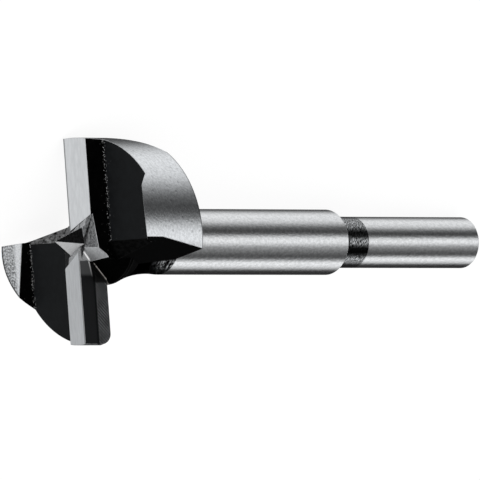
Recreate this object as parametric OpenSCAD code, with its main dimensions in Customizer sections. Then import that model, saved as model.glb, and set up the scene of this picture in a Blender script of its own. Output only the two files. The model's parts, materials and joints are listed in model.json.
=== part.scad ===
// Forstner bit: a two-wing ground cutting head with rim spurs and a centre point,
// on a turned body with an undercut shoulder and a plain round shank.
// Millimetres, +Z up. The bit lies at rest: one chip flute faces the floor, and the
// bit stands on two rim corners and the edge of the shank end. The point is at -X.

/* [Overall] */
// diameter of the hole that the head cuts
head_d = 32; // [29:0.5:38]
// length from the centre point to the shank end
overall_len = 90; // [84:0.5:110]
// diameter of the shank that the chuck grips
shank_d = 8; // [7:0.1:9.5]
// diameter of the turned body behind the head
body_d = 10.2; // [9.6:0.1:11.5]

/* [Head] */
// length of the rim along the axis, behind the lips
rim_len = 12.1; // [11:0.1:15]
// length of the centre point in front of the lips
point_len = 4.3; // [3:0.1:5.5]
// axial thickness of a wing at its cutting face
lip_thick = 5.6; // [4.8:0.1:6.6]
// angle of the sloping back of a wing, from the plane across the axis
back_angle = 32; // [26:1:36]
// radius on the outer back corner of a cutting face
back_corner_r = 1.8; // [0.8:0.1:2.4]

/* [Cutting lips] */
// distance of each cutting edge ahead of the centre line
lip_ahead = 0.87; // [0.6:0.05:1.2]
// width of the bright land behind a cutting edge
land_w = 4.07; // [3.2:0.1:4.8]
// clearance angle of the land
land_clearance = 10.7; // [7:0.1:13]
// width of the ground strip on a cutting face
strip_w = 2.8; // [1.8:0.1:3.6]
// hook angle of the ground strip
strip_hook = 3; // [1:0.5:5]

/* [Pockets and spurs] */
// depth of a pocket floor below the lips
pocket_depth = 3.4; // [2.6:0.1:4.2]
// slope of the wall between land and pocket floor
land_wall_angle = 62.7; // [55:0.5:75]
// distance from the rim to the foot of the spur wall
spur_foot = 2.93; // [2.4:0.05:3.6]
// slope of the wall between pocket floor and spur
spur_wall_angle = 61; // [52:0.5:72]
// slope of the bevel on a spur
spur_bevel = 45; // [38:0.5:50]
// rise of the bevel along the lip direction
spur_skew = 2.7; // [0:0.1:4]
// height of the spur edge over the lips
spur_rise = 0.13; // [0:0.01:0.4]

/* [Flutes and centre] */
// distance of a flute floor past the centre line, at the rim
flute_past = 0.9; // [0.6:0.05:1.2]
// lean of a flute floor across the head
flute_lean = 6.5; // [4:0.1:9]
// extra lean of a flute floor behind the pockets
flute_twist = 2.9; // [0:0.1:4]
// lean of a flute floor along the axis, behind the pockets
flute_fall = 11.3; // [8:0.1:14]
// slope of the facet between a pocket floor and a flute
floor_facet = 30; // [22:1:40]
// largest radius of the hub between the flutes
hub_r = 6.7; // [6.2:0.1:7.4]
// radius of the hollow that runs from the hub into the body
hub_hollow = 22.3; // [19:0.1:26]
// slope of the relief facet beside the centre point
relief_angle = 23.3; // [18:0.1:30]
// slope of the thinning facet beside the centre point
thin_angle = 43; // [38:0.5:48]

/* [Body and shank] */
// distance from the lips to the shoulder of the body
shoulder_at = 55.2; // [50:0.2:60]
// depth of the undercut at the shoulder, on the radius
undercut = 0.35; // [0.2:0.05:0.6]
// length of the undercut along the shank
undercut_len = 1.1; // [0.8:0.1:2]
// chamfer on the shank end
end_chamfer = 0.5; // [0.3:0.05:1]

/* [Hidden] */
$fn = 96;

head_r = head_d / 2;
shank_r = shank_d / 2;
body_r = body_d / 2;
far = head_d;
shank_end = overall_len - point_len;

// pocket profile along a lip: y runs ahead in the turning direction, z to the point
land_back_y = lip_ahead - land_w;
land_back_z = -land_w * tan(land_clearance);
floor_y1 = land_back_y - (pocket_depth + land_back_z) / tan(land_wall_angle);
floor_y2 = spur_foot - head_r;
spur_top_y = floor_y2 - (pocket_depth + 1) / tan(spur_wall_angle);
back_y = lip_ahead - (rim_len - lip_thick) / tan(back_angle);
strip_y = lip_ahead - strip_w * tan(strip_hook);
strip_step = 0.25;

// slanted inner end of a land, and the two pairs of faces of the centre point
slant = 60.3;
slant_off = 1.8;
face_slant = 62.4;
point_w = 1.33;
point_v = 1.03;

// a place on each ground facet beside the centre point, and how the facet is turned
relief_level = 0.35;
relief_fall = 5.1;
relief_band = 0.75;
relief_at = [2.19, -1.3, -0.33];
relief_turn = 4.6;
thin_at = [-0.53, -1.28, -0.13];
thin_turn = 21;
thin_past = 0.3;
facet_past = 0.85;
facet_lean = 3;

// how far the back corner's rounding dips through the back slope, so that they cross in a clean line
corner_dip = 0.004;
// hub: a cone from a small flat front, then a hollow that ends on the body
hub_front = 1.4;
hub_front_r = 1.8;
hub_widest = hub_r - 0.4;
hollow_in = 0.13;
hollow_at = rim_len + 3.4;
hollow_r = body_r - hollow_in + hub_hollow;
shoulder_break = 0.2;

// rest pose: lead and trail are the rim corners beside the flute that faces the floor
lead_deg = asin(lip_ahead / head_r);
back_lean = flute_lean + flute_twist;
trail_fall = (rim_len - pocket_depth) * tan(flute_fall) + flute_past * cos(back_lean);
trail_a = head_r * cos(back_lean);
trail_b = trail_fall * trail_fall + head_d * trail_fall * sin(back_lean);
trail_in = trail_a - sqrt(trail_a * trail_a - trail_b);
trail_x = trail_fall * cos(back_lean) + trail_in * sin(back_lean);
trail_deg = 90 - asin(trail_x / head_r);
half_gap = (trail_deg - lead_deg) / 2;
lead_at = lip_thick - back_corner_r * 0.9;
chuck_at = shank_end - end_chamfer;

function roll_for(p) = asin((rim_len - lead_at) * tan(p) / (2 * head_r * sin(half_gap)));
function pitch_for(d) = atan((head_r * cos(half_gap + d) - shank_r) / (chuck_at - rim_len));
function settle(n) = n == 0 ? pitch_for(0) : pitch_for(roll_for(settle(n - 1)));

pitch = settle(4);
roll = roll_for(pitch);
down_deg = (lead_deg + trail_deg) / 2 - roll;
lift = rim_len * sin(pitch) + head_r * cos(half_gap + roll) * cos(pitch);
x_low = -point_len * cos(pitch);
x_high = shank_end * cos(pitch) + (shank_r - end_chamfer) * sin(pitch);
x_mid = (x_low + x_high) / 2;

// section of one wing, carried straight along its lip
module wing_section() {
    polygon([
        [lip_ahead, 0],
        [land_back_y, land_back_z],
        [floor_y1, -pocket_depth],
        [floor_y2, -pocket_depth],
        [spur_top_y, 1],
        [-head_r - 1, 1],
        [-head_r - 1, -rim_len],
        [back_y, -rim_len],
        [lip_ahead, -lip_thick],
        [lip_ahead, -strip_w - strip_step],
        [strip_y, -strip_w]
    ]);
}

// one chip flute: the space beyond a floor along the pocket and a leaning floor behind it
module beyond(lean, fall) {
    rotate([0, 0, lean])
        rotate([0, fall, 0])
            translate([-2 * far, -2 * far, -2 * far])
                cube([2 * far, 4 * far, 4 * far]);
}

module flute() {
    intersection() {
        translate([-flute_past, -head_r, 0])
            beyond(flute_lean, 0);
        translate([-flute_past, -head_r, -pocket_depth])
            beyond(back_lean, flute_fall);
    }
}

// facet along the open side of a pocket floor
module pocket_facet() {
    translate([-facet_past, floor_y2, -pocket_depth])
        rotate([0, -floor_facet, -facet_lean])
            translate([-far, 0, 0])
                cube([far, floor_y1 - floor_y2 + thin_past, pocket_depth]);
}

// bevel that leaves the spur edge standing at the rim
module bevel() {
    translate([0, -head_r, spur_rise])
        rotate([0, -spur_skew, 0])
            rotate([-spur_bevel, 0, 0])
                translate([-far, -far / 4, 0])
                    cube([2 * far, far / 4 + spur_foot / cos(spur_bevel), far / 4]);
}

// rounding along the outer back corner of a cutting face
module back_corner() {
    translate([0, lip_ahead, -lip_thick])
        rotate([90 + back_angle, 0, 0])
            translate([head_r - back_corner_r, back_corner_r - corner_dip, 0])
                linear_extrude(height = 2 * far, center = true)
                    difference() {
                        translate([0, -2 * back_corner_r])
                            square(2 * back_corner_r);
                        circle(back_corner_r);
                    }
}

// narrow ground step along the slanted end of a land
module relief_groove() {
    intersection() {
        rotate([0, 0, -slant])
            translate([-far / 2, slant_off - relief_band, -far / 2])
                cube([far, relief_band, far]);
        translate([-far / 2, lip_ahead, -relief_level])
            rotate([relief_fall, 0, 0])
                translate([0, -far / 2, 0])
                    cube(far);
    }
}

// ground relief that ends a land at a slant and leaves the centre point standing
module centre_relief() {
    intersection() {
        rotate([0, 0, -slant])
            translate([-far / 2, slant_off - far, -far / 2])
                cube(far);
        translate([-far / 2, floor_y1, -far / 2])
            cube(far);
        union() {
            translate([-far / 2, -far / 2, -relief_level])
                cube(far);
            relief_groove();
            translate(relief_at)
                rotate([0, -relief_turn, 0])
                    rotate([relief_angle, 0, 0])
                        translate([-far / 2, -far / 2, 0])
                            cube(far);
        }
    }
}

// ground facet that thins the web at the inner end of the other lip
module web_thinning() {
    intersection() {
        translate(thin_at)
            rotate([0, 0, thin_turn])
                rotate([0, -thin_angle, 0])
                    translate([-far, -far / 2, 0])
                        cube(far);
        translate([-far, floor_y1 - thin_past, -far / 2])
            cube([2 * far, thin_past - floor_y1 - lip_ahead, far]);
    }
}

module wing() {
    difference() {
        intersection() {
            translate([0, 0, -rim_len])
                cylinder(r = head_r, h = rim_len + spur_rise + 1);
            rotate([90, 0, 90])
                linear_extrude(height = 2 * far, center = true)
                    wing_section();
        }
        flute();
        pocket_facet();
        bevel();
        back_corner();
        centre_relief();
        web_thinning();
    }
}

// four-sided centre point: two crossed wedges
module wedge(half_w) {
    slope = half_w / point_len;
    rotate([90, 0, 0])
        linear_extrude(height = far, center = true)
            polygon([
                [0, point_len],
                [-half_w - slope, -1],
                [half_w + slope, -1]
            ]);
}

module centre_point() {
    intersection() {
        rotate([0, 0, 90])
            wedge(point_w);
        rotate([0, 0, 90 - face_slant])
            wedge(point_v);
    }
}

// hub, body and shank, turned about the axis
module turned_profile() {
    polygon([
        [0, -hub_front],
        [hub_front_r, -hub_front],
        [hub_r, -hub_widest],
        [hub_r, -hollow_at],
        [body_r, -hollow_at],
        [body_r, -shoulder_at + shoulder_break],
        [body_r - shoulder_break, -shoulder_at],
        [shank_r - undercut, -shoulder_at],
        [shank_r - undercut, -shoulder_at - undercut_len / 2],
        [shank_r, -shoulder_at - undercut_len],
        [shank_r, -shank_end + end_chamfer],
        [shank_r - end_chamfer, -shank_end],
        [0, -shank_end]
    ]);
}

module turned() {
    rotate_extrude()
        difference() {
            turned_profile();
            translate([hollow_r, -hollow_at])
                circle(hub_hollow, $fn = 360);
        }
}

module bit() {
    wing();
    rotate([0, 0, 180])
        wing();
    centre_point();
    turned();
}

module forstner_bit() {
    color("Silver")
        translate([-x_mid, 0, lift])
            rotate([0, pitch - 90, 0])
                rotate([0, 0, 180 - down_deg])
                    bit();
}

forstner_bit();
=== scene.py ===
import json
import math
import bmesh
import bpy
import numpy as np
from mathutils import Matrix, Vector


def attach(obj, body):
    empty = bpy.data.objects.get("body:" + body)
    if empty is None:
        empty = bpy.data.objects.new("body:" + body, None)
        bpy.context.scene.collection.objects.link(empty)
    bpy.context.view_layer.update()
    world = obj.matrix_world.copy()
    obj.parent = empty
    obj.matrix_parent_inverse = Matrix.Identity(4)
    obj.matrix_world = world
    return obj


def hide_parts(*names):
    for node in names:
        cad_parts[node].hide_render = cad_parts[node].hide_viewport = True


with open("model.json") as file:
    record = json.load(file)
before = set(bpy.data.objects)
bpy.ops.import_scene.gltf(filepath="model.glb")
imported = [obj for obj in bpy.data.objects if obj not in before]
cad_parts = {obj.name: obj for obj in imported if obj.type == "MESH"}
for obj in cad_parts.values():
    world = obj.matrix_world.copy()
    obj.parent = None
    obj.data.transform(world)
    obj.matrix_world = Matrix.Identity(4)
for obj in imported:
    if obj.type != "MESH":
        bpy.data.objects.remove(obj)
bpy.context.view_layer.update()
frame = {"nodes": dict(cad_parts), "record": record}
print("frame loaded")

# where the bit lies: its axis comes from the shank mount
placing = {
    "mountFromLips": 0.07075,  # metres from the lip plane to the middle of the shank mount
    "downAngle": 39.1335,      # degrees about the axis that point a flute at the floor
}
mount = frame["record"]["mounts"][0]
axis = np.array(mount["axis"], float)
axis /= np.linalg.norm(axis)
lipCentre = np.array(mount["pos_m"], float) - axis * placing["mountFromLips"]


# turns about z and about y by an angle in radians
def turnZ(a):
    return np.array([[math.cos(a), -math.sin(a), 0], [math.sin(a), math.cos(a), 0], [0, 0, 1]])


def turnY(a):
    return np.array([[math.cos(a), 0, math.sin(a)], [0, 1, 0], [-math.sin(a), 0, math.cos(a)]])


# bit frame: x along the lip, y ahead in the turning direction, z out of the point
pitch = math.asin(-axis[2])
bitTurn = turnY(pitch - math.pi / 2) @ turnZ(math.pi - math.radians(placing["downAngle"]))


# rows of frame metres to bit millimetres: less the lip centre, turned back
def toBit(p):
    return (np.asarray(p, float) - lipCentre) @ bitTurn * 1000.0


# the bit's skin: the part's own surface, merged, with fine edge breaks
skin = {
    "mergeWithin": 2e-6,        # metres, as the next two
    "edgeBreak": 0.00005,
    "shortest": 0.00045,        # shorter edges stay sharp
    "flatWithin": 0.35,         # degrees
    "edgeFrom": 14.0,           # degrees between faces before an edge is broken
    "darkEnd": -60.65,          # bit millimetres from here on: the shank is black from the shoulder to here
    "hubWidest": -6.3,
    "hollowFrom": -6.86,
    "hollowCentre": (27.27, -15.5),
    "turnedRise": 0.05,         # a turned face's normal leans less than this along the axis
    "weighUpTo": 4.0,           # square millimetres of a face that count in the normals beside it
}
kinds = ["rim", "body", "neck", "land", "floor", "wall", "back", "hub", "hollow", "spur", "relief", "groove",
         "thin", "pointFace", "pointDark", "strip", "milled", "facet", "brightEdge", "darkEdge"]
brightKinds = {"rim", "body", "land", "spur", "relief", "groove", "thin", "pointFace"}

# which finish a face has: the first row whose ranges all hold
# of a face's middle: radius, depth along the axis, and side, the distance from the centre line
# of its corners: least, the smallest radius
# of its normal: rise along the axis, ahead, along the lip, out from the axis, and radial, how straight out
far = 99.0      # beyond the bit
full = 2.0      # above any share of a normal
faceRules = [
    ("rim", {"least": (15.94, far), "rise": (-0.2, 0.2)}),
    ("neck", {"depth": (skin["darkEnd"], -55.22)}),
    ("body", {"depth": (-far, -17.88)}),
    ("hub", {"radius": (0, 7.2), "depth": (-9.3, -1.5), "out": (0.3, full), "radial": (0.96, full)}),
    ("hollow", {"radius": (0, 7.2), "depth": (-far, -1.5), "out": (0.3, full), "radial": (0.96, full)}),
    ("land", {"rise": (0.97, full), "ahead": (0.12, full), "along": (-1, 0.05)}),
    ("floor", {"rise": (0.985, full), "depth": (-far, -2)}),
    ("groove", {"rise": (0.985, full)}),
    ("relief", {"rise": (0.86, full), "ahead": (0.3, full), "radius": (-1, 7)}),
    ("spur", {"rise": (0.6, full), "ahead": (0.6, full), "radius": (11, far)}),
    ("facet", {"rise": (0.8, full), "along": (0.4, full)}),
    ("thin", {"rise": (0.68, 0.78), "along": (0.58, 0.7), "radius": (-1, 7)}),
    ("pointDark", {"rise": (0.1, 0.4), "ahead": (0.9, full), "depth": (-1.8, far), "radius": (-1, 3.4)}),
    ("pointFace", {"rise": (0.1, 0.4), "depth": (-1.8, far), "radius": (-1, 3.4)}),
    ("wall", {"rise": (0.4, full), "ahead": (0.8, full), "depth": (-3.2, -0.8), "side": (2, far)}),
    ("strip", {"ahead": (0.8, full), "depth": (-3.2, far), "radius": (0.9, far)}),
    ("milled", {"ahead": (0.985, full), "side": (-1, 1.3)}),
    ("relief", {"rise": (-0.1, 0.1), "depth": (-1.5, far), "radius": (-1, 5)}),
    ("back", {"rise": (-full, -0.2)}),
    ("wall", {}),
]


# one whole array out of a collection of the mesh
def fetch(items, name, width=1, number=float):
    values = np.zeros(len(items) * width, number)
    items.foreach_get(name, values)
    return values.reshape(-1, width) if width > 1 else values


# corners of all faces in a row: where each face's corners begin, how many it has, and the corners' vertices
def cornersOf(made):
    starts = fetch(made.polygons, "loop_start", number=np.int32)
    counts = fetch(made.polygons, "loop_total", number=np.int32)
    return starts, counts, fetch(made.loops, "vertex_index", number=np.int32)


# distance from the axis: root of x squared plus y squared
def radiusFrom(p):
    return np.hypot(p[:, 0], p[:, 1])


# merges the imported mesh, joins its flat triangles, and parts the shank where its black ends
def mergeSkin(node):
    bm = bmesh.new()
    bm.from_mesh(node.data)
    bmesh.ops.remove_doubles(bm, verts=bm.verts, dist=skin["mergeWithin"])
    bmesh.ops.dissolve_limit(bm, angle_limit=math.radians(skin["flatWithin"]), verts=bm.verts, edges=bm.edges)
    everything = bm.verts[:] + bm.edges[:] + bm.faces[:]
    bmesh.ops.bisect_plane(bm, geom=everything, dist=1e-7, plane_no=Vector(axis),
                           plane_co=Vector(lipCentre - axis * skin["darkEnd"] / 1000.0))
    bmesh.ops.recalc_face_normals(bm, faces=bm.faces)
    made = bpy.data.meshes.new("forstnerBit")
    bm.to_mesh(made)
    bm.free()
    return made


# gives every face its finish: the measures as arrays, then the rules from the last to the first, so that the
# first that holds stays
def sortFaces(made):
    starts, counts, vertexOf = cornersOf(made)
    points = toBit(fetch(made.vertices, "co", 3))[vertexOf]
    middle = np.add.reduceat(points, starts) / counts[:, None]
    normal = fetch(made.polygons, "normal", 3) @ bitTurn
    radius = radiusFrom(middle)
    out = (normal[:, 0] * middle[:, 0] + normal[:, 1] * middle[:, 1]) / (radius + 1e-9)
    measures = {
        "least": np.minimum.reduceat(radiusFrom(points), starts),
        "radius": radius,
        "depth": middle[:, 2],
        "side": np.abs(middle[:, 1]),
        "rise": normal[:, 2],
        "ahead": np.abs(normal[:, 1]),
        "along": np.abs(normal[:, 0]),
        "out": out,
        "radial": out / (radiusFrom(normal) + 1e-9),
    }
    chosen = np.zeros(len(counts), np.int32)
    for kind, ranges in reversed(faceRules):
        holds = np.ones(len(counts), bool)
        for name, (low, high) in ranges.items():
            holds &= (measures[name] > low) & (measures[name] < high)
        chosen[holds] = kinds.index(kind)
    made.polygons.foreach_set("material_index", chosen)


# breaks the outer edges with narrow flats: bright where either face is bright, else dark
def breakEdges(made):
    bm = bmesh.new()
    bm.from_mesh(made)
    bm.normal_update()
    bright, dark = [], []
    for e in bm.edges:
        if len(e.link_faces) != 2 or not e.is_convex or e.calc_length() < skin["shortest"]:
            continue
        if e.calc_face_angle(0) < math.radians(skin["edgeFrom"]):
            continue
        names = {kinds[f.material_index] for f in e.link_faces}
        (bright if names & brightKinds else dark).append(e)
    for edges, kind in ((bright, "brightEdge"), (dark, "darkEdge")):
        bmesh.ops.bevel(bm, geom=[e for e in edges if e.is_valid], offset=skin["edgeBreak"],
                        offset_type="OFFSET", segments=1, profile=0.5, affect="EDGES", clamp_overlap=False,
                        material=kinds.index(kind))
    bmesh.ops.dissolve_degenerate(bm, dist=skin["mergeWithin"] / 4, edges=bm.edges)
    bm.normal_update()
    bm.to_mesh(made)
    bm.free()


mesh = mergeSkin(frame["nodes"]["forstner_bit"])
sortFaces(mesh)
breakEdges(mesh)
bit = bpy.data.objects.new("forstnerBit", mesh)
bpy.context.scene.collection.objects.link(bit)
starts, counts, vertexOf = cornersOf(mesh)
faceOf = np.repeat(np.arange(len(counts)), counts)
bitCo = toBit(fetch(mesh.vertices, "co", 3))
corner = bitCo[vertexOf]
cornerRadius = radiusFrom(corner)
kindAt = fetch(mesh.polygons, "material_index", number=np.int32)[faceOf]


# corners that lie on faces of these kinds
def onKinds(*names):
    return np.isin(kindAt, [kinds.index(name) for name in names])


# corner normals of the true surface: straight out on turned faces, as much out as along the axis on the hub's
# cone, towards the middle of its arc on the hollow, and the face's own elsewhere
def trueNormals():
    own = (fetch(mesh.polygons, "normal", 3) @ bitTurn)[faceOf]
    turned = onKinds("rim", "body", "neck") & (np.abs(own[:, 2]) < skin["turnedRise"])
    onHub = onKinds("hub", "hollow")
    onCone = onHub & (corner[:, 2] > skin["hubWidest"])
    onHollow = onHub & (corner[:, 2] < skin["hollowFrom"])
    out = np.where(onHollow, skin["hollowCentre"][0] - cornerRadius, 1.0)
    rise = np.where(onHollow, skin["hollowCentre"][1] - corner[:, 2], np.where(onCone, 1.0, 0.0))
    outward = corner[:, :2] / np.maximum(cornerRadius, 1e-9)[:, None]
    true = np.column_stack([outward * out[:, None], rise]) / np.hypot(out, rise)[:, None]
    return np.where((turned | onHub)[:, None], true, own)


# on an edge break the normals are the mean of the faces it joins, weighed by area
def softenEdges(normals):
    onEdge = onKinds("brightEdge", "darkEdge")
    weight = np.minimum(fetch(mesh.polygons, "area") * 1e6, skin["weighUpTo"])[faceOf]
    gathered = np.zeros((len(bitCo), 3))
    np.add.at(gathered, vertexOf[~onEdge], (normals * weight[:, None])[~onEdge])
    length = np.linalg.norm(gathered, axis=1)[vertexOf]
    soft = onEdge & (length > 1e-6)
    normals[soft] = gathered[vertexOf[soft]] / length[soft, None]
    return normals


# unrolled place of each corner: arc about the axis, unbroken within a face, distance along it, and radius
def unroll():
    middle = np.add.reduceat(corner, starts) / counts[:, None]
    base = np.arctan2(middle[:, 1], middle[:, 0])[faceOf]
    lean = np.arctan2(corner[:, 1], corner[:, 0]) - base
    lean = (lean + math.pi) % (2 * math.pi) - math.pi
    arc = (base + lean) * np.maximum.reduceat(cornerRadius, starts)[faceOf]
    return np.column_stack([arc, corner[:, 2], cornerRadius])


placeData = mesh.attributes.new("bitPlace", "FLOAT_VECTOR", "POINT")   # millimetres in the bit frame
placeData.data.foreach_set("vector", bitCo.astype(np.float32).ravel())
roundData = mesh.attributes.new("bitRound", "FLOAT_VECTOR", "CORNER")
roundData.data.foreach_set("vector", unroll().astype(np.float32).ravel())
mesh.polygons.foreach_set("use_smooth", np.ones(len(mesh.polygons), bool))
mesh.normals_split_custom_set((softenEdges(trueNormals()) @ bitTurn.T).tolist())
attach(bit, "root")
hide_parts("forstner_bit")
print("bit skin made", len(mesh.polygons), "faces")


# a new node in the tree t, its inputs set or linked by name or number
def addNode(t, kind, inputs=None, **settings):
    node = t.nodes.new(kind)
    for key, value in settings.items():
        setattr(node, key, value)
    for key, value in (inputs or {}).items():
        if isinstance(value, bpy.types.NodeSocket):
            t.links.new(value, node.inputs[key])
        else:
            node.inputs[key].default_value = value
    return node


# one step of arithmetic on a and b, and the common ones by name
def calc(t, how, a, b=0.0):
    return addNode(t, "ShaderNodeMath", {0: a, 1: b}, operation=how).outputs[0]


def plus(t, a, b):
    return calc(t, "ADD", a, b)


def less(t, a, b):
    return calc(t, "SUBTRACT", a, b)


def times(t, a, b):
    return calc(t, "MULTIPLY", a, b)


def size(t, a):
    return calc(t, "ABSOLUTE", a)


# distance from the axis: root of x squared plus y squared
def radiusOf(t, at):
    return calc(t, "SQRT", plus(t, times(t, at["x"], at["x"]), times(t, at["y"], at["y"])))


# share of the way from low to high, kept between 0 and 1
def share(t, value, low, high, how="LINEAR"):
    inputs = {"Value": value, "From Min": low, "From Max": high}
    return addNode(t, "ShaderNodeMapRange", inputs, interpolation_type=how).outputs["Result"]


# ramp through greys at the given places, each grey times the tint
plainTint = (1.0, 1.006, 1.012)


def addRamp(t, factor, stops, tint=plainTint):
    ramp = addNode(t, "ShaderNodeValToRGB", {"Fac": factor})
    while len(ramp.color_ramp.elements) < len(stops):
        ramp.color_ramp.elements.new(0.5)
    for element, (at, grey) in zip(ramp.color_ramp.elements, stops):
        element.position = at
        element.color = (grey * tint[0], grey * tint[1], grey * tint[2], 1.0)
    return ramp.outputs["Color"]


# colour b laid over colour a by the factor
def blend(t, how, a, b, factor=1.0):
    inputs = {"Factor": factor, 6: a, 7: b}
    return addNode(t, "ShaderNodeMix", inputs, data_type="RGBA", blend_type=how).outputs[2]


# colour times a share that goes from 1 to what is left as the factor goes from 0 to 1
def dim(t, colour, factor, left):
    return blend(t, "MULTIPLY", colour, addRamp(t, factor, [(0.0, 1.0), (1.0, left)]))


# colour plus the grey times the factor
def brighten(t, colour, factor, grey, tint=plainTint):
    return blend(t, "ADD", colour, addRamp(t, factor, [(0.0, 0.0), (1.0, grey)], tint))


# noise between 0 and 1 at a place
def noiseAt(t, place, detail, rough=0.5):
    inputs = {"Vector": place, "Scale": 1.0, "Detail": detail, "Roughness": rough}
    return addNode(t, "ShaderNodeTexNoise", inputs).outputs["Fac"]


# random cells: a number that each cell draws, and the distance from the cell's middle
def cellsAt(t, place, scale):
    cells = addNode(t, "ShaderNodeTexVoronoi", {"Vector": place, "Scale": scale})
    drawn = addNode(t, "ShaderNodeSeparateColor", {"Color": cells.outputs["Color"]}).outputs["Red"]
    return drawn, cells.outputs["Distance"]


# finishes: greys of the grain from low to high, roughness, grain as repeats per millimetre along x, y and z
# of the bit frame, and bump; those with a shine are black scale, the others bare metal
coldTint = (0.88, 1.0, 1.12)
finishes = {
    "rim": dict(low=0.6, high=0.74, rough=0.17, grain=(2.3, 2.3, 2.6), bump=0.5, detail=1.2),
    "body": dict(low=0.62, high=0.74, rough=0.16, grain=(2.6, 2.6, 1.7), bump=0.55, detail=1.2),
    "neck": dict(low=0.0, high=0.52, rough=0.13, grain=(1.2, 1.2, 1.2), bump=0.2),
    "land": dict(low=0.625, high=0.715, rough=0.32, grain=(0.45, 2.6, 2.6), bump=0.08),
    "floor": dict(low=0.0042, high=0.0068, rough=0.55, shine=0.1, grain=(0.8, 0.8, 0.8), bump=0.15,
                  tint=coldTint),
    "wall": dict(low=0.0002, high=0.0008, rough=0.6, shine=0.02, grain=(1.2, 1.2, 1.2), bump=0.1),
    "back": dict(low=0.004, high=0.01, rough=0.42, shine=0.22, grain=(0.9, 0.9, 0.9), bump=0.3,
                 tint=coldTint),
    "hub": dict(low=0.0001, high=0.0006, rough=0.5, shine=0.01, grain=(1.6, 1.6, 3.0), bump=0.3),
    "hollow": dict(low=0.0, high=0.42, rough=0.22, grain=(1.6, 1.6, 3.0), bump=0.5, slantShine=0.0),
    "spur": dict(low=0.19, high=0.82, rough=0.38, grain=(3.8, 4.6, 4.6), bump=0.6),
    "relief": dict(low=0.04, high=0.27, rough=0.38, grain=(3.0, 4.5, 4.5), bump=0.6),
    "thin": dict(low=0.56, high=0.74, rough=0.4, grain=(3.0, 3.0, 3.0), bump=0.2),
    "groove": dict(low=0.3, high=0.5, rough=0.4, grain=(3.0, 3.0, 3.0), bump=0.3),
    "pointFace": dict(low=0.52, high=0.62, metal=0.35, rough=0.5, grain=(1.6, 1.6, 6.0), bump=0.1),
    "pointDark": dict(low=0.02, high=0.05, rough=0.35, grain=(2.6, 2.6, 4.0), bump=0.2),
    "strip": dict(low=0.003, high=0.005, rough=0.45, shine=0.1, grain=(0.4, 2.0, 3.0), bump=0.08,
                  tint=coldTint),
    "milled": dict(low=0.002, high=0.005, rough=0.5, shine=0.1, grain=(1.5, 1.5, 1.5), bump=0.3,
                   tint=coldTint),
    "facet": dict(low=0.001, high=0.2, rough=0.55, shine=0.02, grain=(2.2, 1.4, 2.2), bump=0.4),
    "brightEdge": dict(low=0.5, high=0.72, rough=0.35, grain=(3.0, 3.0, 3.0), bump=0.1),
    "darkEdge": dict(low=0.0005, high=0.006, rough=0.5, shine=0.05, grain=(2.0, 2.0, 2.0), bump=0.1),
}

# a finish that has more than grain gives its colour and the height for the bump; at holds the place, its
# x, y and z in millimetres, the grain, its colour and its greys; a pair is where a share starts and ends
rimMarks = {
    "dentScale": 1.3, "drawn": (0.3, 0.2), "reach": (0.4, 0.15), "depth": 0.6, "dentLeft": 0.78,
    "backCorner": (-11.82, -11.95), "backLeft": 0.3,
}


# rim: sparse dents, and dark along the back corner
def rimLook(t, at):
    drawn, distance = cellsAt(t, at["place"], rimMarks["dentScale"])
    dents = times(t, share(t, drawn, *rimMarks["drawn"]), share(t, distance, *rimMarks["reach"]))
    colour = dim(t, at["colour"], dents, rimMarks["dentLeft"])
    colour = dim(t, colour, share(t, at["z"], *rimMarks["backCorner"]), rimMarks["backLeft"])
    return colour, less(t, at["grain"], times(t, dents, rimMarks["depth"]))


neckMarks = {
    "turn": -30.0,                              # degrees the scuffs slant
    "size": (0.5, 0.15, 1.0),                   # their length and width
    "greysAt": (0.42, 0.65),
    "detail": 3.0,
    "heightLean": 0.107,                        # height is x less this share of y
    "reflectionBandsAt": [(-1.25, 0.04), (1.3, 0.3)],     # painted dark reflection bands at these heights, with the share left
    "reflectionBandReach": (1.0, 0.35),
}


# neck: black with slanting scuffs, noise on the unrolled surface, and painted dark reflection bands along it
def neckLook(t, at):
    around = addNode(t, "ShaderNodeAttribute", attribute_name="bitRound").outputs["Vector"]
    slant = (0.0, 0.0, math.radians(neckMarks["turn"]))
    inputs = {"Vector": around, "Rotation": slant, "Scale": neckMarks["size"]}
    slanted = addNode(t, "ShaderNodeMapping", inputs, vector_type="TEXTURE").outputs["Vector"]
    scuffs = noiseAt(t, slanted, neckMarks["detail"])
    colour = addRamp(t, scuffs, list(zip(neckMarks["greysAt"], at["greys"])))
    height = less(t, at["x"], times(t, at["y"], neckMarks["heightLean"]))
    # painted reflection: darker bands across the scuffs at these heights
    for middle, left in neckMarks["reflectionBandsAt"]:
        off = size(t, less(t, height, middle))
        colour = dim(t, colour, share(t, off, *neckMarks["reflectionBandReach"]), left)
    return colour, scuffs


# the lip's painted dark reflection: where it runs, and the share left
landMarks = {"lip": (0.58, 0.7), "lipReflectionLeft": 0.35}


# land: a fine dark line on the lip, a painted dark reflection of its edge; ahead of the centre line is y on
# one wing and minus y on the other
def landLook(t, at):
    ahead = times(t, at["y"], calc(t, "SIGN", at["x"]))
    return dim(t, at["colour"], share(t, ahead, *landMarks["lip"]), landMarks["lipReflectionLeft"]), at["grain"]


pocketMarks = {
    "cornersAt": (4.54, 13.07),      # the floor's corners, from the centre line
    "floorAt": -3.4,
    "scale": 7.5,
    "crowdReach": (0.42, 0.0), "crowd": 0.55,      # share of cells with a speck near a corner
    "strayReach": (2.4, 0.3), "stray": 0.03,       # and further from it
    "drawnWithin": 0.1, "speckReach": (0.38, 0.2), "grey": 0.7,
}


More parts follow.
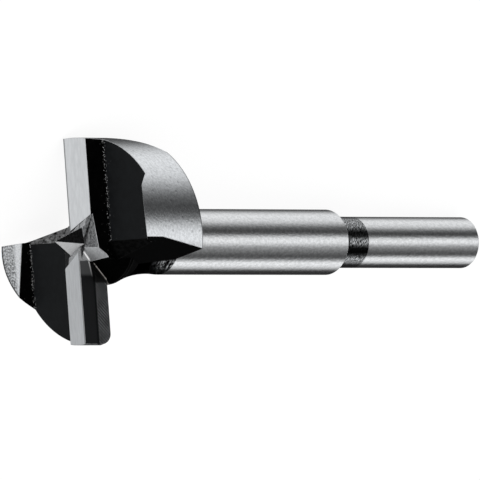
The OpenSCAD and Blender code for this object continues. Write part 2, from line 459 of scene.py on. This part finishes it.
# pocket walls and floors: worn specks that crowd along the corners; how far off a corner is the larger of the
# distances sideways and along the axis
def pocketLook(t, at):
    gaps = [size(t, less(t, size(t, at["y"]), place)) for place in pocketMarks["cornersAt"]]
    above = size(t, less(t, at["z"], pocketMarks["floorAt"]))
    off = calc(t, "MAXIMUM", calc(t, "MINIMUM", *gaps), above)
    crowd = times(t, share(t, off, *pocketMarks["crowdReach"], "SMOOTHERSTEP"), pocketMarks["crowd"])
    stray = times(t, share(t, off, *pocketMarks["strayReach"]), pocketMarks["stray"])
    drawn, distance = cellsAt(t, at["place"], pocketMarks["scale"])
    chosen = less(t, calc(t, "MAXIMUM", crowd, stray), drawn)
    specks = times(t, share(t, chosen, 0.0, pocketMarks["drawnWithin"]),
                   share(t, distance, *pocketMarks["speckReach"]))
    return brighten(t, at["colour"], specks, pocketMarks["grey"]), at["grain"]


hubMarks = {
    "milledAt": 0.47,                # distance of the milled face from the centre line
    "reach": (0.32, 0.06), "patches": (0.4, 0.6), "from": (-6.6, -6.2),
    "grey": 0.3, "tint": (1.0, 0.95, 0.88),
}


# hub: worn in patches along the milled face
def hubLook(t, at):
    worn = share(t, size(t, less(t, size(t, at["y"]), hubMarks["milledAt"])), *hubMarks["reach"])
    worn = times(t, worn, share(t, at["grain"], *hubMarks["patches"]))
    worn = times(t, worn, share(t, at["z"], *hubMarks["from"]))
    return brighten(t, at["colour"], worn, hubMarks["grey"], hubMarks["tint"]), at["grain"]


hollowMarks = {"greysAt": (0.48, 0.62), "blackFrom": (-15.8, -12.6)}


# hollow: black with bright patches that grow towards the body
def hollowLook(t, at):
    colour = addRamp(t, at["grain"], list(zip(hollowMarks["greysAt"], at["greys"])))
    return dim(t, colour, share(t, at["z"], *hollowMarks["blackFrom"]), 0.0), at["grain"]


spurMarks = {
    "greysAt": (0.42, 0.58),
    "innerEdge": (13.82, 0.032),     # from the centre line, and how much nearer it runs along the lip
    "ragged": 0.4, "innerReach": (1.1, 0.8), "innerGreys": [(0.38, 0.75), (0.56, 1.0)],
    "rim": (15.78, 15.88), "rimLeft": 0.12,
}


# spur: coarse, with a brighter ragged stripe along its inner edge, and dark on the rim
def spurLook(t, at):
    colour = addRamp(t, at["grain"], list(zip(spurMarks["greysAt"], at["greys"])))
    edge, run = spurMarks["innerEdge"]
    off = plus(t, less(t, size(t, at["y"]), edge), times(t, size(t, at["x"]), run))
    off = plus(t, off, times(t, at["grain"], spurMarks["ragged"]))
    stripe = addRamp(t, at["grain"], spurMarks["innerGreys"])
    colour = blend(t, "MIX", colour, stripe, share(t, off, *spurMarks["innerReach"]))
    return dim(t, colour, share(t, radiusOf(t, at), *spurMarks["rim"]), spurMarks["rimLeft"]), at["grain"]


# the facet's side range marks where painted shade makes it near black
wingMarks = {"reliefBlack": (-0.2, 0.4), "facetShadeSide": (0.5, -0.5), "left": 0.02}


# relief: ground on one wing and left black on the other, told apart by y
def reliefLook(t, at):
    return dim(t, at["colour"], share(t, at["y"], *wingMarks["reliefBlack"]), wingMarks["left"]), at["grain"]


# facet: mottled grey, with painted shade that makes it near black on one wing
def facetLook(t, at):
    return dim(t, at["colour"], share(t, at["y"], *wingMarks["facetShadeSide"]), wingMarks["left"]), at["grain"]


# painted highlight along the ridge, and painted reflections on the strip beside it
ridgeHighlightMarks = {
    # dull white of the painted highlight
    "colour": (0.85, 0.85, 0.85, 1.0),
    "half": (0.26, 0.1), "wider": 0.8, "widerFrom": (1.6, 0.6), "ends": (3.1, 2.85),
    "faceAt": 0.87,                  # distance of the cutting face from the centre line
    "line": (0.877, 0.47),           # on the cutting face: fall along the lip, and height at the axis
    "slantLine": (0.22, -1.4),       # the same where it runs on
    "slantHalf": (0.2, 0.05), "slantEnds": [(5.6, 3.2), (2.85, 3.0)], "slantShare": 0.5,
    "behind": (0.0, -0.12), "behindEnds": (6.6, 6.0), "behindLeft": 0.04,
    "reflectionSteps": [(0.0, 0.26), (3.0, 0.26), (3.12, 0.05), (5.0, 0.042), (5.5, 0.0)],   # painted reflections: grey added against x
    "reflectionStepsTo": 10.0,
}


# painted highlight along the ridge that the thinning leaves on the cutting face: full where off, the distance
# from its line, is small, and wider towards the point
def ridgeHighlightAt(t, off, lip):
    width = plus(t, times(t, share(t, lip, *ridgeHighlightMarks["widerFrom"]), ridgeHighlightMarks["wider"]), 1.0)
    line = share(t, calc(t, "DIVIDE", size(t, off), width), *ridgeHighlightMarks["half"])
    return times(t, line, share(t, lip, *ridgeHighlightMarks["ends"]))


# height above a line that falls along the lip: z plus the fall times the distance, less the start
def aboveLine(t, z, lip, fall, start):
    return less(t, plus(t, z, times(t, lip, fall)), start)


# thinning facet: bright metal, with a painted highlight of dull white, not metal, along the ridge at its edge
def thinLook(t, at):
    line = ridgeHighlightAt(t, less(t, size(t, at["y"]), ridgeHighlightMarks["faceAt"]), size(t, at["x"]))
    at["metal"] = less(t, 1.0, line)
    return blend(t, "MIX", at["colour"], ridgeHighlightMarks["colour"], line), at["grain"]


# strip: paler beside the point, where the web is thinned, from painted reflections that step down in grey
# along the lip; past that the ridge's painted highlight runs on at a slant, with black behind it
def stripLook(t, at):
    lip = size(t, at["x"])
    # painted reflections: grey in steps along the lip
    reflectionSteps = [(place / ridgeHighlightMarks["reflectionStepsTo"], grey) for place, grey in ridgeHighlightMarks["reflectionSteps"]]
    colour = blend(t, "ADD", at["colour"], addRamp(t, share(t, lip, 0.0, ridgeHighlightMarks["reflectionStepsTo"]), reflectionSteps))
    line = ridgeHighlightAt(t, aboveLine(t, at["z"], lip, *ridgeHighlightMarks["line"]), lip)
    off = aboveLine(t, at["z"], lip, *ridgeHighlightMarks["slantLine"])
    slant = share(t, size(t, off), *ridgeHighlightMarks["slantHalf"])
    for ends in ridgeHighlightMarks["slantEnds"]:
        slant = times(t, slant, share(t, lip, *ends))
    line = calc(t, "MAXIMUM", line, times(t, slant, ridgeHighlightMarks["slantShare"]))
    behind = share(t, off, *ridgeHighlightMarks["behind"])
    behind = calc(t, "MINIMUM", behind, share(t, lip, *ridgeHighlightMarks["behindEnds"]))
    colour = dim(t, colour, behind, ridgeHighlightMarks["behindLeft"])
    return blend(t, "MIX", colour, ridgeHighlightMarks["colour"], line), at["grain"]


millMarks = {
    "pitch": 0.42,                                   # millimetres between tool marks
    "waveLength": 0.314,                             # of the wave at a scale of 1
    "turn": -42.0, "wander": 0.7, "detail": 2.0, "detailScale": 1.5,
    "greys": [(0.45, 0.0), (0.85, 0.125)], "patches": [(0.36, 0.35), (0.6, 1.0)],
    "blackTo": (6.65, 6.35), "blackLeft": 0.08,      # no tool marks nearer than this along the lip
    "hubFoot": 0.4,                                  # radius less depth where the hub's cone leaves the face
    "wornReach": (0.34, 0.06), "wornPatches": (0.3, 0.56), "wornGrey": 0.4, "wornTint": (1.0, 0.956, 0.891),
}


# milled face: a wave of slanting tool marks, black beside the hub, worn in patches along the hub's foot
def milledLook(t, at):
    inputs = {"Vector": at["place"], "Rotation": (0.0, math.radians(millMarks["turn"]), 0.0)}
    slanted = addNode(t, "ShaderNodeMapping", inputs).outputs["Vector"]
    inputs = {"Vector": slanted, "Scale": millMarks["waveLength"] / millMarks["pitch"],
              "Distortion": millMarks["wander"], "Detail": millMarks["detail"],
              "Detail Scale": millMarks["detailScale"]}
    wave = addNode(t, "ShaderNodeTexWave", inputs, bands_direction="X").outputs["Fac"]
    patches = addRamp(t, at["grain"], millMarks["patches"])
    colour = blend(t, "MULTIPLY", addRamp(t, wave, millMarks["greys"]), patches)
    colour = blend(t, "ADD", at["colour"], colour)
    colour = dim(t, colour, share(t, size(t, at["x"]), *millMarks["blackTo"]), millMarks["blackLeft"])
    off = size(t, less(t, plus(t, radiusOf(t, at), at["z"]), millMarks["hubFoot"]))
    worn = times(t, share(t, off, *millMarks["wornReach"]), share(t, at["grain"], *millMarks["wornPatches"]))
    return brighten(t, colour, worn, millMarks["wornGrey"], millMarks["wornTint"]), wave


looks = {
    "rim": rimLook, "neck": neckLook, "land": landLook, "floor": pocketLook, "wall": pocketLook,
    "hub": hubLook, "hollow": hollowLook, "spur": spurLook, "relief": reliefLook, "facet": facetLook,
    "thin": thinLook, "strip": stripLook, "milled": milledLook,
}
grainMarks = {
    "greysAt": (0.36, 0.64), "detail": 4.0, "noiseRough": 0.62, "roughFrom": 0.85, "roughTo": 1.15,
    "lift": 0.00002,                 # metres
}


# grain: noise stretched by the repeats; colour runs from low to high with it, and it lifts the surface
def makeFinish(name):
    finish = finishes[name]
    mat = bpy.data.materials.new(name)
    mat.use_nodes = True
    t = mat.node_tree
    shader = t.nodes["Principled BSDF"]
    place = addNode(t, "ShaderNodeAttribute", attribute_name="bitPlace").outputs["Vector"]
    mapped = addNode(t, "ShaderNodeMapping", {"Vector": place, "Scale": finish["grain"]}).outputs["Vector"]
    grain = noiseAt(t, mapped, finish.get("detail", grainMarks["detail"]), grainMarks["noiseRough"])
    greys = (finish["low"], finish["high"])
    colour = addRamp(t, grain, list(zip(grainMarks["greysAt"], greys)), finish.get("tint", plainTint))
    xyz = addNode(t, "ShaderNodeSeparateXYZ", {"Vector": place}).outputs
    at = {"place": place, "x": xyz["X"], "y": xyz["Y"], "z": xyz["Z"], "grain": grain, "colour": colour,
          "greys": greys}
    height = grain
    if name in looks:
        colour, height = looks[name](t, at)
    t.links.new(colour, shader.inputs["Base Color"])
    shader.inputs["Metallic"].default_value = finish.get("metal", 0.0 if "shine" in finish else 1.0)
    if "metal" in at:              # where it changes over the face
        t.links.new(at["metal"], shader.inputs["Metallic"])
    shader.inputs["Specular IOR Level"].default_value = finish.get("shine", 0.5)
    if "slantShine" in finish:     # the black of it doesn't shine at a slant
        shader.inputs["Specular Tint"].default_value = (finish["slantShine"],) * 3 + (1.0,)
    inputs = {"Value": grain, "To Min": finish["rough"] * grainMarks["roughFrom"],
              "To Max": finish["rough"] * grainMarks["roughTo"]}
    t.links.new(addNode(t, "ShaderNodeMapRange", inputs).outputs["Result"], shader.inputs["Roughness"])
    inputs = {"Height": height, "Strength": finish["bump"], "Distance": grainMarks["lift"]}
    t.links.new(addNode(t, "ShaderNodeBump", inputs).outputs["Normal"], shader.inputs["Normal"])
    return mat


for name in kinds:
    mesh.materials.append(makeFinish(name))
print("finishes made")

# the photo's view of the bit
camera = {
    "viewSine": 0.708,       # how far the view leans from square-on towards the point
    "lipTilt": 6.1,          # degrees the lips are turned in the picture
    "roll": 0.18,            # degrees
    "distance": 3.0,
    "lookAt": 0.0365,        # along the axis from the lips
    "lens": 1449.0,
    "sensor": 36.0,
    "shift": (-0.0035, 0.0042),
    "clip": (0.05, 50.0),
}
tilt = math.radians(camera["lipTilt"])
upWay = bitTurn @ np.array([math.cos(tilt), -math.sin(tilt), 0.0])
farWay = bitTurn @ np.array([math.sin(tilt), math.cos(tilt), 0.0])
sine = camera["viewSine"]
cosine = math.sqrt(1 - sine * sine)
toCamera = -sine * axis - cosine * farWay
right = cosine * axis - sine * farWay
turn = Matrix((Vector(right), Vector(upWay), Vector(toCamera))).transposed()
turn = turn @ Matrix.Rotation(math.radians(camera["roll"]), 3, "Z")
cameraData = bpy.data.cameras.new("camera")
cameraData.lens = camera["lens"]
cameraData.sensor_width = camera["sensor"]
cameraData.clip_start, cameraData.clip_end = camera["clip"]
cameraData.shift_x, cameraData.shift_y = camera["shift"]
cameraObject = bpy.data.objects.new("camera", cameraData)
stand = lipCentre + axis * camera["lookAt"] + toCamera * camera["distance"]
cameraObject.matrix_world = Matrix.Translation(Vector(stand)) @ turn.to_4x4()
bpy.context.scene.collection.objects.link(cameraObject)
bpy.context.scene.camera = cameraObject

# pale floor: a flat square that keeps a faint shadow
floor = {"half": 8.0, "colour": 0.13, "glow": 0.9, "rough": 0.9}
floorMesh = bpy.data.meshes.new("floor")
half = floor["half"]
floorCorners = [(-half, -half, 0), (half, -half, 0), (half, half, 0), (-half, half, 0)]
floorMesh.from_pydata(floorCorners, [], [(0, 1, 2, 3)])
floorObject = bpy.data.objects.new("floor", floorMesh)
floorMat = bpy.data.materials.new("floor")
floorMat.use_nodes = True
shader = floorMat.node_tree.nodes["Principled BSDF"]
shader.inputs["Base Color"].default_value = (floor["colour"],) * 3 + (1.0,)
shader.inputs["Roughness"].default_value = floor["rough"]
shader.inputs["Specular IOR Level"].default_value = 0.0
shader.inputs["Emission Color"].default_value = (1.0, 1.0, 1.0, 1.0)
shader.inputs["Emission Strength"].default_value = floor["glow"]
floorMesh.materials.append(floorMat)
floorObject.visible_glossy = False
bpy.context.scene.collection.objects.link(floorObject)

# studio: even light all round; what the steel mirrors is a dim room with soft strips round the shank's axis,
# given as degrees from the far side over the top, and a pale front with bands of its own
studio = {
    "even": 0.9,
    "strips": [(0, 0.05), (30, 0.1), (42, 0.28), (54, 0.66), (66, 0.93), (78, 1.04), (100, 0.89), (109, 0.66),
               (117, 0.4), (125, 0.19), (132, 0.11), (140, 0.065), (146, 0.08), (151, 0.16), (156, 0.36),
               (161, 0.72), (167, 1.02), (175, 1.17), (183, 1.04), (190, 0.74), (197, 0.42), (206, 0.28),
               (216, 0.18), (227, 0.1), (234, 0.08), (241, 0.17), (249, 0.58), (257, 1.14), (268, 1.14),
               (287, 0.6), (297, 0.12), (308, 0.03)],
    "front": [(0.0, 0.62), (0.4, 0.66), (0.63, 0.8), (1.0, 0.93)],
    "frontBands": [(0, 1.0), (22, 1.0), (42, 0.35), (62, 0.3), (80, 0.9), (95, 1.05), (110, 0.8), (124, 0.3),
                   (138, 0.35), (150, 1.0), (160, 1.25), (180, 1.25), (198, 0.9), (215, 0.35), (240, 0.25),
                   (258, 0.7), (270, 1.0), (298, 1.0), (312, 0.5), (325, 0.3), (342, 0.9), (352, 1.0)],
    "frontSpan": (-0.2, -0.95),      # shares of a direction along the axis, as the next two
    "bandsFrom": (-0.97, -0.8),
    "frontFrom": (0.0, -0.3),
    "nearSide": (-0.74, -0.84),      # the room is dark towards the viewer
    "nearLeft": 0.05,
}
world = bpy.data.worlds.new("studio")
bpy.context.scene.world = world
world.use_nodes = True
t = world.node_tree
t.nodes.clear()
way = addNode(t, "ShaderNodeTexCoord").outputs["Generated"]


# share of the direction that lies along v
def shareAlong(v):
    return addNode(t, "ShaderNodeVectorMath", {0: way, 1: tuple(v)}, operation="DOT_PRODUCT").outputs["Value"]


along, across, up = shareAlong(axis), shareAlong(farWay), shareAlong(upWay)
turns = calc(t, "DIVIDE", calc(t, "ARCTAN2", up, across), 2 * math.pi)
turns = calc(t, "FRACT", plus(t, turns, 1.0))
strips = addRamp(t, turns, [(degrees / 360, grey) for degrees, grey in studio["strips"]])
front = addRamp(t, share(t, along, *studio["frontSpan"]), studio["front"])
bands = addRamp(t, turns, [(degrees / 360, grey) for degrees, grey in studio["frontBands"]])
front = blend(t, "MULTIPLY", front, bands, share(t, along, *studio["bandsFrom"]))
mirrored = blend(t, "MIX", strips, front, share(t, along, *studio["frontFrom"]))
mirrored = dim(t, mirrored, share(t, across, *studio["nearSide"]), studio["nearLeft"])
plain = addNode(t, "ShaderNodeBackground", {"Color": (1.0, 1.0, 1.0, 1.0), "Strength": studio["even"]})
shiny = addNode(t, "ShaderNodeBackground", {"Color": mirrored, "Strength": 1.0})
glossy = addNode(t, "ShaderNodeLightPath").outputs["Is Glossy Ray"]
mixed = addNode(t, "ShaderNodeMixShader", {0: glossy, 1: plain.outputs[0], 2: shiny.outputs[0]})
addNode(t, "ShaderNodeOutputWorld", {"Surface": mixed.outputs[0]})

# one wide soft lamp over the bit
lamp = {"size": 0.8, "power": 2.0, "at": (-0.3, 0.35, 0.9)}
lampData = bpy.data.lights.new("softLamp", "AREA")
lampData.size = lamp["size"]
lampData.energy = lamp["power"]
lampObject = bpy.data.objects.new("softLamp", lampData)
lampObject.location = lamp["at"]
lampObject.rotation_euler = (-Vector(lamp["at"])).to_track_quat("-Z", "Y").to_euler()
lampObject.visible_glossy = False
bpy.context.scene.collection.objects.link(lampObject)
bpy.context.scene.view_settings.view_transform = "Standard"
print("studio made")
